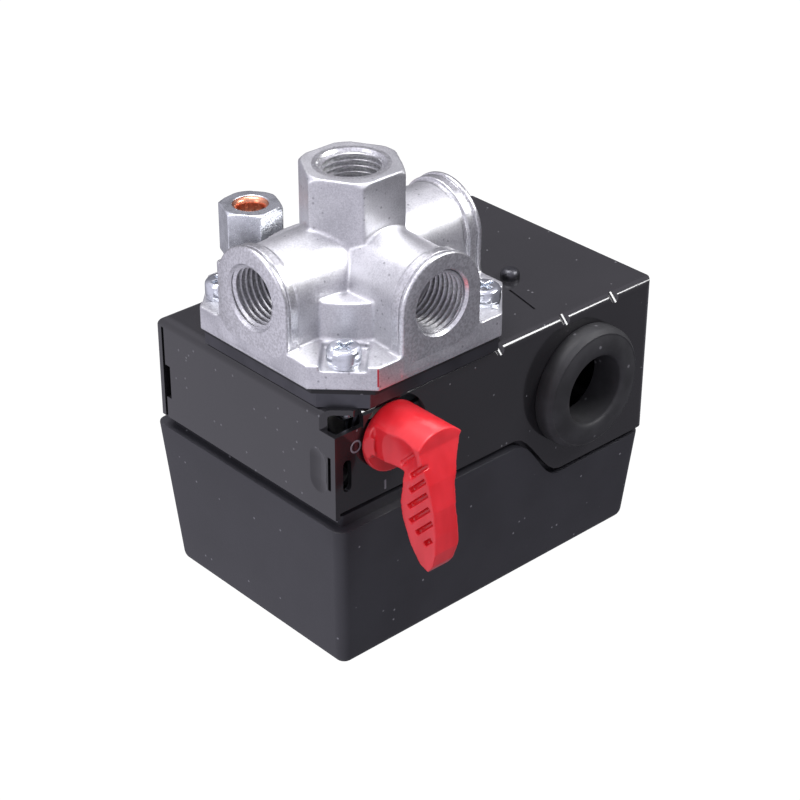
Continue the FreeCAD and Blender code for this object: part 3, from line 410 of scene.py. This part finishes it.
def piece(name, mesh, finish, body, replaces=(), sharp=35.0):
    """A finished piece that rides on a body and takes the finish it is given."""
    data = bpy.data.meshes.new(name)
    mesh.to_mesh(data)
    mesh.free()
    data.materials.append(finish.material)
    data.shade_smooth()
    data.set_sharp_from_angle(angle=math.radians(sharp))
    made = bpy.data.objects.new(name, data)
    bpy.context.collection.objects.link(made)
    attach(made, body)
    if replaces:
        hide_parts(*replaces)
    return made


def soften(made, voxel, passes):
    """Turns a piece into one skin with cast-looking edges."""
    skin = made.modifiers.new("skin", "REMESH")
    skin.mode = "VOXEL"
    skin.voxel_size = voxel * MM
    skin.use_smooth_shade = True
    ease = made.modifiers.new("ease", "SMOOTH")
    ease.factor = 0.5
    ease.iterations = passes


def ease_edges(made, width, segments=2, angle=32.0):
    """Small rounded edges, as on pressed or turned parts."""
    bevel = made.modifiers.new("eased_edges", "BEVEL")
    bevel.width = width * MM
    bevel.segments = segments
    bevel.limit_method = "ANGLE"
    bevel.angle_limit = math.radians(angle)
    bevel.use_clamp_overlap = True
    bevel.harden_normals = False


# ------------------------------------------------------------------ manifold
ARM_FACE = 27.04            # machined face of each side port, from the tank port's axis
COLLAR_START = 23.2         # the casting is drawn in from here on, to lie under the collar
FLANGE_CLEAR = 72.6         # ... and only above the flange
DRAW_FROM, DRAWN_IN = 9.0, 9.7      # half widths: the least that is looked at, and the drawn-in end
TRIM_FROM, CASTING_END = 72.55, 26.7    # above this height the arms are cut short of their faces
PORTS = {"left": (-X, "x"), "right": (X, "x"), "front": (-Y, "y")}
MOUTH = 7.25                # radius where the lead-in chamfer starts
PITCH = 1.35                # of the ports' thread, near that of a quarter-inch pipe thread
THREAD_DEPTH = 11.0
OUTLINE_POINTS = 96         # round one arm's arch outline
FOOT_CLEAR = 0.35           # between the legs of an arm's end and the flange's underside


def casting():
    """Flange, core, barrels and hexagon in one skin; the arms' ends are drawn in under the collars."""
    mesh = node_copy("manifold")
    for vert in mesh.verts:
        x, y, z = vert.co / MM
        for reach, across in ((abs(x), "y"), (-y, "x")):
            if reach < COLLAR_START or z < FLANGE_CLEAR:
                continue
            wide = y if across == "y" else x
            up = z - PORT_Z
            if up > 0:
                spread = math.hypot(wide, up)
                squeeze = min(1.0, DRAWN_IN / spread) if spread > DRAW_FROM else 1.0
                vert.co.z = (PORT_Z + up * squeeze) * MM
            else:
                squeeze = DRAWN_IN / abs(wide) if abs(wide) > DRAWN_IN else 1.0
            if across == "y":
                vert.co.y = wide * squeeze * MM
            else:
                vert.co.x = wide * squeeze * MM
    for vert in mesh.verts:
        if vert.co.z > TRIM_FROM * MM:
            vert.co.x = max(-CASTING_END * MM, min(CASTING_END * MM, vert.co.x))
            vert.co.y = max(-CASTING_END * MM, vert.co.y)
    made = piece("manifold_casting", mesh, CAST, "base", ["manifold"])
    soften(made, 0.36, 2)


def arch_point(share, radius, drop):
    """Point of an arch outline: half circle over two straight legs, by share of the way round."""
    if share <= 0.5:
        angle = share * 2 * math.pi
        return radius * math.cos(angle), radius * math.sin(angle)
    t = (share - 0.5) / 0.5
    if t < 0.35:
        return -radius, -drop * t / 0.35
    if t < 0.65:
        return -radius + 2 * radius * (t - 0.35) / 0.3, -drop
    return radius, -drop * (1 - t) / 0.35


# depth behind the face and radius: eased corner, lip, groove, band, hair line, under the barrel
COLLAR = [(0.0, 10.30), (0.10, 10.52), (0.28, 10.70), (0.55, 10.80), (0.95, 10.80), (1.18, 10.70),
          (1.28, 10.50), (1.34, 10.22), (1.62, 10.22), (1.70, 10.46), (1.85, 10.56), (3.45, 10.56),
          (3.60, 10.48), (3.66, 10.10), (3.84, 9.9), (4.6, 9.8)]


def arm_end(name, direction, faced):
    """Collar and faced end of a side port, with legs that run down to the flange's foot."""
    mesh = bmesh.new()
    side = Z.cross(direction)
    drop = PORT_Z - FLANGE_Z0 - FOOT_CLEAR
    face = Z * (PORT_Z * MM) + direction * (ARM_FACE * MM)
    bmesh.ops.create_circle(mesh, segments=OUTLINE_POINTS, radius=MOUTH * MM)
    ring, edges = list(mesh.verts), list(mesh.edges)
    for k, vert in enumerate(ring):
        angle = 2 * math.pi * k / OUTLINE_POINTS
        vert.co = face + (side * math.cos(angle) + Z * math.sin(angle)) * (MOUTH * MM)
    for depth, radius in COLLAR:
        ring, edges = grow_ring(mesh, ring, edges)
        for k, vert in enumerate(ring):
            across, up = arch_point(k / OUTLINE_POINTS, radius, drop)
            vert.co = face - direction * (depth * MM) + side * (across * MM) + Z * (up * MM)
    bmesh.ops.recalc_face_normals(mesh, faces=mesh.faces)
    piece(name, mesh, faced, "base", sharp=28.0)


def threaded_mouth(name, place, direction, faced, rim_radius):
    """Lead-in chamfer at a port's mouth."""
    points = [(rim_radius, 0.0), (MOUTH, 0.0), (7.16, -0.12), (6.80, -0.62), (6.80, -0.95), (7.6, -0.95)]
    if rim_radius > MOUTH + 0.2:
        points.append((rim_radius, -0.95))
    piece(name, lathe(points, place, direction), faced, "base", sharp=25.0)


def thread(name, place, direction, faced):
    """Pipe thread: a sharp ridge that winds into the port."""
    points = []
    turns = int(THREAD_DEPTH / PITCH) + 2
    for k in range(turns):
        foot = -k * PITCH + PITCH
        points += [(6.78, foot), (6.72, foot - 0.18 * PITCH), (6.10, foot - 0.44 * PITCH),
                   (6.06, foot - 0.56 * PITCH), (6.72, foot - 0.82 * PITCH)]
    mesh = lathe(points, place, direction, steps=72, closed=False, rise=-PITCH)
    for end, outward in ((-0.55, 1), (-THREAD_DEPTH, -1)):
        cut = place + direction * (end * MM)
        geom = mesh.verts[:] + mesh.edges[:] + mesh.faces[:]
        bmesh.ops.bisect_plane(mesh, geom=geom, dist=1e-7, plane_co=cut, plane_no=direction * outward,
                               clear_outer=True)
    for face in mesh.faces:
        middle = face.calc_center_median() - place
        outwards = middle - direction * middle.dot(direction)
        if face.normal.dot(outwards) > 0:
            face.normal_flip()
    made = piece(name, mesh, faced, "base", sharp=30.0)
    wall = made.modifiers.new("wall", "SOLIDIFY")
    wall.thickness = 0.14 * MM
    wall.offset = -1.0


casting()
for port, (direction, faced) in PORTS.items():
    place = direction * (ARM_FACE * MM) + Z * (PORT_Z * MM)
    arm_end(port + "_port_end", direction, FACED[faced])
    threaded_mouth(port + "_port_mouth", place, direction, FACED[faced], MOUTH)
    thread(port + "_port_thread", place, direction, FACED[faced])
tank_mouth = Z * (HEX_TOP * MM)
threaded_mouth("tank_port_mouth", tank_mouth, Z, FACED["z"], 8.6)
thread("tank_port_thread", tank_mouth, Z, FACED["z"])


# ------------------------------------------------------------------ manifold screws
def screws():
    made = piece("manifold_screw_heads", node_copy("manifold_screws"), ZINC, "base",
                 ["manifold_screws"])
    soften(made, 0.16, 2)
    washers = piece("split_washers", node_copy("spring_washers"), ZINC, "base", ["spring_washers"])
    ease_edges(washers, 0.12)


screws()


# ------------------------------------------------------------------ unloader and its nut
def unloader():
    """Cast body, plated nut and the copper ferrule's funnel inside the nut."""
    body = piece("unloader_casting", node_copy("unloader_body"), CAST, "base", ["unloader_body"])
    soften(body, 0.26, 2)
    nut = piece("compression_nut", node_copy("tube_nut"), NUT_PLATE, "base", ["tube_nut"])
    soften(nut, 0.18, 2)
    funnel = [(3.05, -4.0), (3.05, -1.6), (3.15, -0.9), (3.55, -0.42), (3.95, -0.30), (4.0, -0.45),
              (4.0, -4.0)]
    mesh = lathe(funnel, at(NUT_X, NUT_Y, NUT_TOP), Z)
    piece("copper_ferrule", mesh, COPPER, "base", ["ferrule"], sharp=50.0)


unloader()


# ------------------------------------------------------------------ steel base
def base():
    """Pressed base: its flat triangles are joined first, so that only real edges are eased."""
    mesh = node_copy("base_frame")
    bmesh.ops.dissolve_limit(mesh, angle_limit=math.radians(0.5), verts=mesh.verts, edges=mesh.edges,
                             use_dissolve_boundaries=False)
    made = piece("pressed_base", mesh, ENAMEL, "base", ["base_frame"], sharp=25.0)
    ease_edges(made, 0.22, 2, 40.0)


# ------------------------------------------------------------------ cover
RIM_GAP = 1.4                       # between the base's edge and the rim
RIM_OUT, REAR_OUT, DRAFT = 0.8, 1.5, 3.0    # rim outside the base, more at the rear, lean of a side
CORNER, FILLET = 2.6, 2.4
STEP_X0, STEP_X1 = 24.0, 38.5
HIGH_EDGE, LOW_EDGE = 38.0, 25.2    # lower edge of the base's long walls, before and after the step
CORNER_STEPS = 12                   # points round each upright corner of the cover, less one
LONG_STEPS, SHORT_STEPS = 48, 12    # points along its sides


def rim_height(x):
    """Height of the cover's rim, which steps down below the cable entries."""
    share = max(0.0, min(1.0, (x - STEP_X0) / (STEP_X1 - STEP_X0)))
    ease = share * share * (3 - 2 * share)
    return HIGH_EDGE + (LOW_EDGE - HIGH_EDGE) * ease - RIM_GAP


def rounded_outline(inset, radius, rear):
    """Corner arcs and straight runs of a rounded rectangle, as (x, y) in millimetres."""
    points = []
    corners = [(RIGHT, rear, 0), (LEFT, rear, 90), (LEFT, FRONT, 180), (RIGHT, FRONT, 270)]
    for x, y, start in corners:
        cx = x - math.copysign(inset + radius, x)
        cy = y - math.copysign(inset + radius, y)
        for k in range(CORNER_STEPS + 1):
            angle = math.radians(start + 90 * k / CORNER_STEPS)
            points.append((cx + radius * math.cos(angle), cy + radius * math.sin(angle)))
    runs = []
    for n in range(len(points)):
        x0, y0 = points[n]
        x1, y1 = points[(n + 1) % len(points)]
        runs.append((x0, y0))
        if n % (CORNER_STEPS + 1) == CORNER_STEPS:
            count = LONG_STEPS if abs(x1 - x0) > abs(y1 - y0) else SHORT_STEPS
            runs += [(x0 + (x1 - x0) * k / count, y0 + (y1 - y0) * k / count) for k in range(1, count)]
    return runs


def lean(z):
    """How far a side has leant in from the base's outer face at a height."""
    return DRAFT * (HIGH_EDGE - z) / HIGH_EDGE - RIM_OUT


def tub():
    """Cover: leaning walls from an eased closed face up to a rim that follows the base's edge."""
    mesh = bmesh.new()
    levels = []
    for k in range(7):
        angle = math.radians(90 * k / 6)
        z = FILLET * (1 - math.cos(angle))
        levels.append((lambda x, z=z: z, FILLET * (1 - math.sin(angle)), REAR_OUT))
    for share in (0.25, 0.5, 0.75):
        levels.append((lambda x, s=share: FILLET + (rim_height(x) - FILLET) * s, 0.0, REAR_OUT))
    levels += [(lambda x: rim_height(x) - 0.35, 0.0, REAR_OUT),
               (lambda x: rim_height(x) - 0.10, 0.06, REAR_OUT), (rim_height, 0.32, REAR_OUT)]
    flat = rounded_outline(0, CORNER, REAR)
    ring = [mesh.verts.new((0, 0, 0)) for _ in flat]
    edges = [mesh.edges.new((ring[k], ring[(k + 1) % len(ring)])) for k in range(len(ring))]
    first = ring

    def put(verts, height, inset, rear_out):
        for k, vert in enumerate(verts):
            z = height(flat[k][0])
            x, y = rounded_outline(lean(z) + inset, max(CORNER - inset, 0.9), REAR + rear_out)[k]
            vert.co = at(x, y, z)

    put(ring, *levels[0])
    for level in levels[1:]:
        ring, edges = grow_ring(mesh, ring, edges)
        put(ring, *level)
    # ledge under the base's walls, lip inside them, inner wall and floor
    inner = [(rim_height, 2.3, 0.0), (lambda x: rim_height(x) + 2.6, 2.35, 0.0),
             (lambda x: rim_height(x) + 2.6, 3.4, 0.0), (lambda x: rim_height(x) - 1.0, 3.4, 0.0),
             (lambda x: rim_height(x) - 3.0, 2.0, REAR_OUT), (lambda x: 3.6, 2.0, REAR_OUT),
             (lambda x: 2.0, 3.4, REAR_OUT)]
    for level in inner:
        ring, edges = grow_ring(mesh, ring, edges)
        put(ring, *level)
    mesh.faces.new(ring)
    mesh.faces.new(list(reversed(first)))
    bmesh.ops.recalc_face_normals(mesh, faces=mesh.faces)
    piece("cover_tub", mesh, CHARCOAL, "base", ["cover"], sharp=40.0)


tub()


# ------------------------------------------------------------------ knob
def knob():
    made = piece("knob_grip", node_copy("knob"), RED, "knob", ["knob"])
    soften(made, 0.22, 3)


knob()


# ------------------------------------------------------------------ marks beside the knob and on the flange
MARKER_Y = -23.75
MARK_GREY = Finish("mark_grey", Roughness=0.4, Base_Color=(0.20, 0.20, 0.22, 1.0))
PAINT = Finish("red_paint", Roughness=0.35, Base_Color=(0.42, 0.02, 0.035, 1.0))


def marks():
    """A ring for off and a bar for on, on the marker plate, and a paint line on the flange's corner."""
    ring = lathe([(1.05, 0.0), (1.45, 0.0), (1.45, 0.02), (1.05, 0.02)],
                 at(-20.3, MARKER_Y, 54.4), -Y, steps=48)
    piece("off_ring_mark", ring, MARK_GREY, "base")
    bar = block((-12.6, MARKER_Y - 0.02, 41.0), (-12.1, MARKER_Y, 43.2))
    piece("on_bar_mark", bar, MARK_GREY, "base")
    stripe = block((-17.20, -27.03, 68.3), (-16.95, -26.75, 72.2))
    piece("red_paint_line", stripe, PAINT, "base")


marks()


# ------------------------------------------------------------------ grommets
def grommet(name, node, wall, outward):
    """Rubber ring: plain side, rounded shoulder with a moulding line, domed face and a rounded bore."""
    profile = [(8.0, -3.2), (8.05, 4.1), (8.25, 4.6), (8.7, 4.92), (9.4, 5.05), (10.5, 5.02), (11.7, 4.82),
               (12.7, 4.48), (13.05, 4.36), (13.15, 4.42), (13.32, 4.30), (13.40, 4.12), (13.9, 3.65),
               (14.15, 3.1), (14.25, 2.5), (14.25, 0.3), (14.05, 0.02), (10.95, 0.02), (10.95, -1.22),
               (12.4, -1.22), (12.6, -1.5), (12.6, -2.8), (12.2, -3.3), (8.4, -3.4)]
    place = at(ENTRY_X, wall, ENTRY_Z)
    mesh = lathe(profile, place, Y * outward, steps=128)
    piece(name, mesh, RUBBER, "base", [node], sharp=50.0)


grommet("front_cable_ring", "front_grommet", FRONT, -1)
grommet("rear_cable_ring", "rear_grommet", REAR, 1)


# ------------------------------------------------------------------ floor, light and camera
# brightness of the sky all round, from the left and from above
SKY = {"around": 0.21, "left": 0.56, "above": 0.52}
# name, place, aim, size and power
LAMPS = [
    ("overhead_softbox", (0.0, 0.12, 0.60), (0.02, 0.0, 0.05), (0.30, 0.25), 2.0),
    ("left_softbox", (-0.55, 0.05, 0.35), (0.0, 0.0, 0.05), (0.25, 0.25), 0.6),
    ("front_softbox", (0.34, -0.30, 0.46), (0.02, 0.0, 0.05), (0.28, 0.16), 2.4),
]


def stage():
    """White floor that lights nothing, a graded sky and three soft lamps."""
    floor = bmesh.new()
    bmesh.ops.create_grid(floor, x_segments=1, y_segments=1, size=3.0)
    data = bpy.data.meshes.new("studio_floor")
    floor.to_mesh(data)
    floor.free()
    paper = Finish("white_paper", Base_Color=(0.0, 0.0, 0.0, 1.0), Roughness=1.0, Specular_IOR_Level=0.0,
                   Emission_Color=(1.0, 1.0, 1.0, 1.0), Emission_Strength=1.05)
    data.materials.append(paper.material)
    ground = bpy.data.objects.new("studio_floor", data)
    ground.location.z = -0.02 * MM
    ground.visible_glossy = False
    ground.visible_diffuse = False
    bpy.context.collection.objects.link(ground)

    world = bpy.data.worlds.new("studio")
    world.use_nodes = True
    tree = world.node_tree

    def graded(source, low, high, weight):
        """Brightness that grows with one component of the direction."""
        grade = tree.nodes.new("ShaderNodeMapRange")
        grade.interpolation_type = "SMOOTHSTEP"
        grade.inputs["From Min"].default_value = low
        grade.inputs["From Max"].default_value = high
        grade.inputs["To Max"].default_value = weight
        tree.links.new(source, grade.inputs["Value"])
        return grade.outputs["Result"]

    def plus(first, second):
        total = tree.nodes.new("ShaderNodeMath")
        total.operation = "ADD"
        tree.links.new(first, total.inputs[0])
        if isinstance(second, float):
            total.inputs[1].default_value = second
        else:
            tree.links.new(second, total.inputs[1])
        return total.outputs[0]

    towards = tree.nodes.new("ShaderNodeTexCoord")
    parts = tree.nodes.new("ShaderNodeSeparateXYZ")
    tree.links.new(towards.outputs["Generated"], parts.inputs[0])
    left = graded(parts.outputs[0], 0.5, -0.8, SKY["left"])
    above = graded(parts.outputs[2], 0.35, 0.95, SKY["above"])
    strength = plus(plus(left, above), SKY["around"])
    background = tree.nodes["Background"]
    background.inputs["Color"].default_value = (0.965, 0.94, 1.08, 1.0)
    tree.links.new(strength, background.inputs["Strength"])
    bpy.context.scene.world = world

    for name, place, aim, size, power in LAMPS:
        lamp = bpy.data.lights.new(name, "AREA")
        lamp.shape = "RECTANGLE"
        lamp.size, lamp.size_y = size
        lamp.energy = power
        holder = bpy.data.objects.new(name, lamp)
        holder.location = place
        holder.rotation_euler = (Vector(aim) - Vector(place)).to_track_quat("-Z", "Y").to_euler()
        bpy.context.collection.objects.link(holder)


def camera():
    """The view from above the front left corner, as right, up, back and place in metres."""
    eye = bpy.data.cameras.new("camera")
    eye.lens = 95.53
    eye.sensor_width = 36.0
    holder = bpy.data.objects.new("camera", eye)
    right = (0.73768, -0.67514, 0.00345)
    up = (0.34007, 0.37598, 0.86197)
    back = (-0.58325, -0.63469, 0.50695)
    place = (-0.25779, -0.29519, 0.27731)
    holder.matrix_world = Matrix(list(zip(right, up, back, place)) + [(0, 0, 0, 1)])
    bpy.context.collection.objects.link(holder)
    bpy.context.scene.camera = holder


stage()
camera()
bpy.context.scene.view_settings.view_transform = "Standard"
